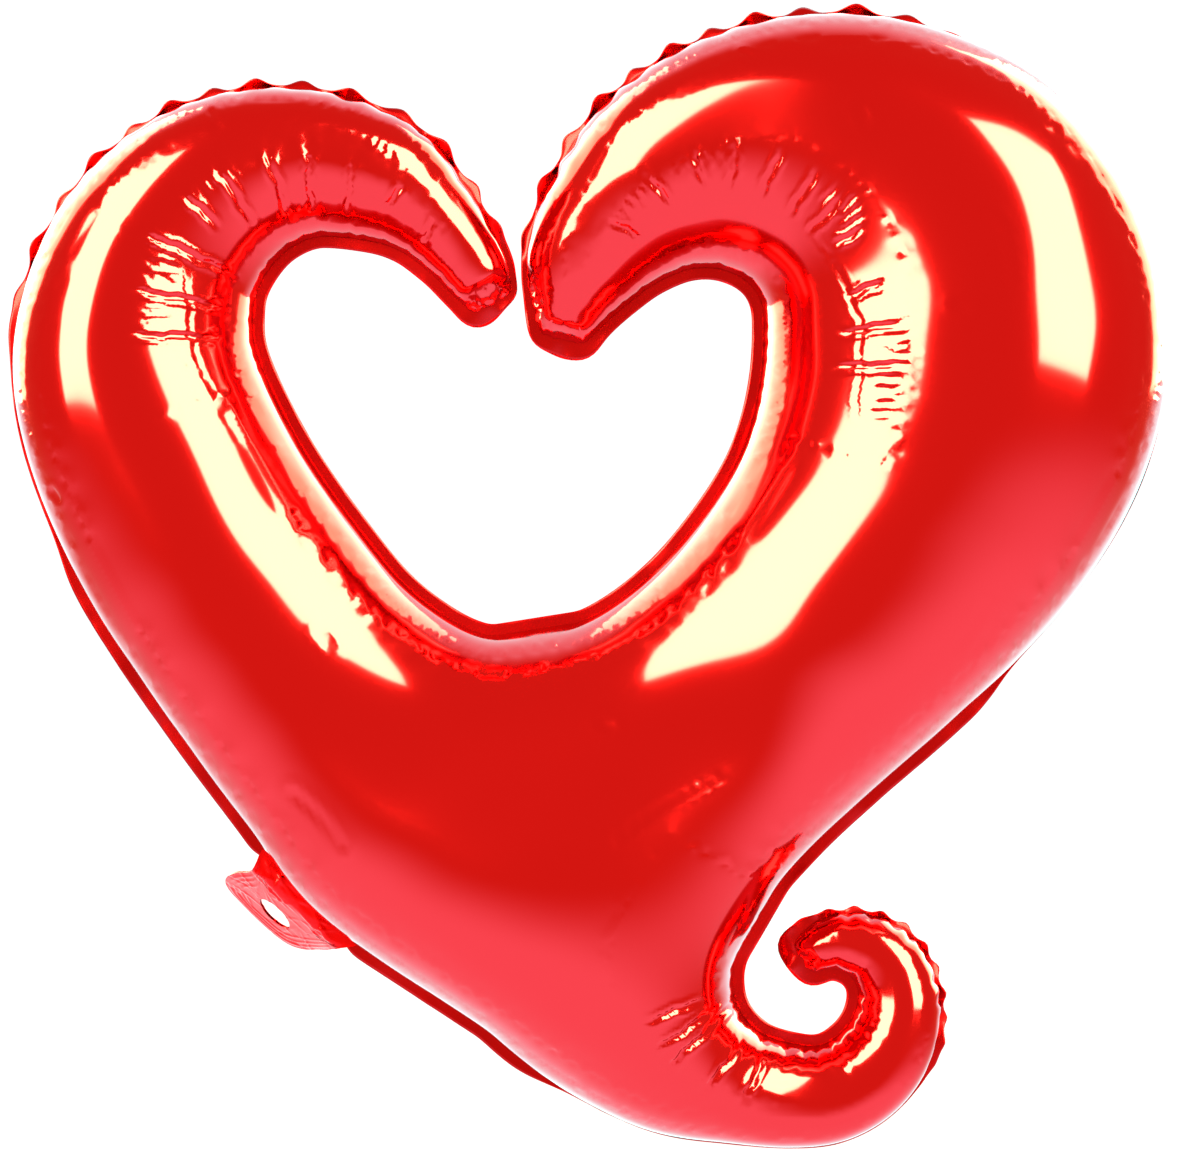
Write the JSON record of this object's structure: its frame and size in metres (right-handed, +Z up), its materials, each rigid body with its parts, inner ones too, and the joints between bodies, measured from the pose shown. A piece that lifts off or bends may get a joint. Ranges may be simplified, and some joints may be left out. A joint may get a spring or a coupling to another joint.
{
  "type": "foil balloon",
  "caption": "Inflated foil balloon in the shape of a hollow heart, open at the top, with a tail that curls into a hook and a filling tab with a tie hole.",
  "frame": {"origin": "middle of the tie hole in the filling tab, which a ribbon goes through", "axes": "+Z up, +Y away from the viewer across the weld seam, -Y out of the front panel, +X towards the large lobe"},
  "size_m": [0.4079, 0.143, 0.4008],
  "materials": {
    "front_foil": "polished",
    "back_foil": "polished",
    "valve_film": "gloss"
  },
  "bodies": {
    "balloon": {"front_panel": "front_foil", "back_panel": "back_foil", "weld_seam": "front_foil", "valve_front_film": "valve_film", "valve_back_film": "valve_film"},
    "tab": {"tab_front_film": "front_foil", "tab_back_film": "back_foil", "valve_mouth": "valve_film"}
  },
  "joints": [
    {"name": "tab_fold", "type": "hinge", "parent": "balloon", "child": "tab", "pos_m": [0.00609, -0.01798, 0.00631], "axis": [-0.7193, 0, 0.6947], "range_deg": [-16, 144], "stiffness_Nm_per_rad": 0.0003}
  ]
}
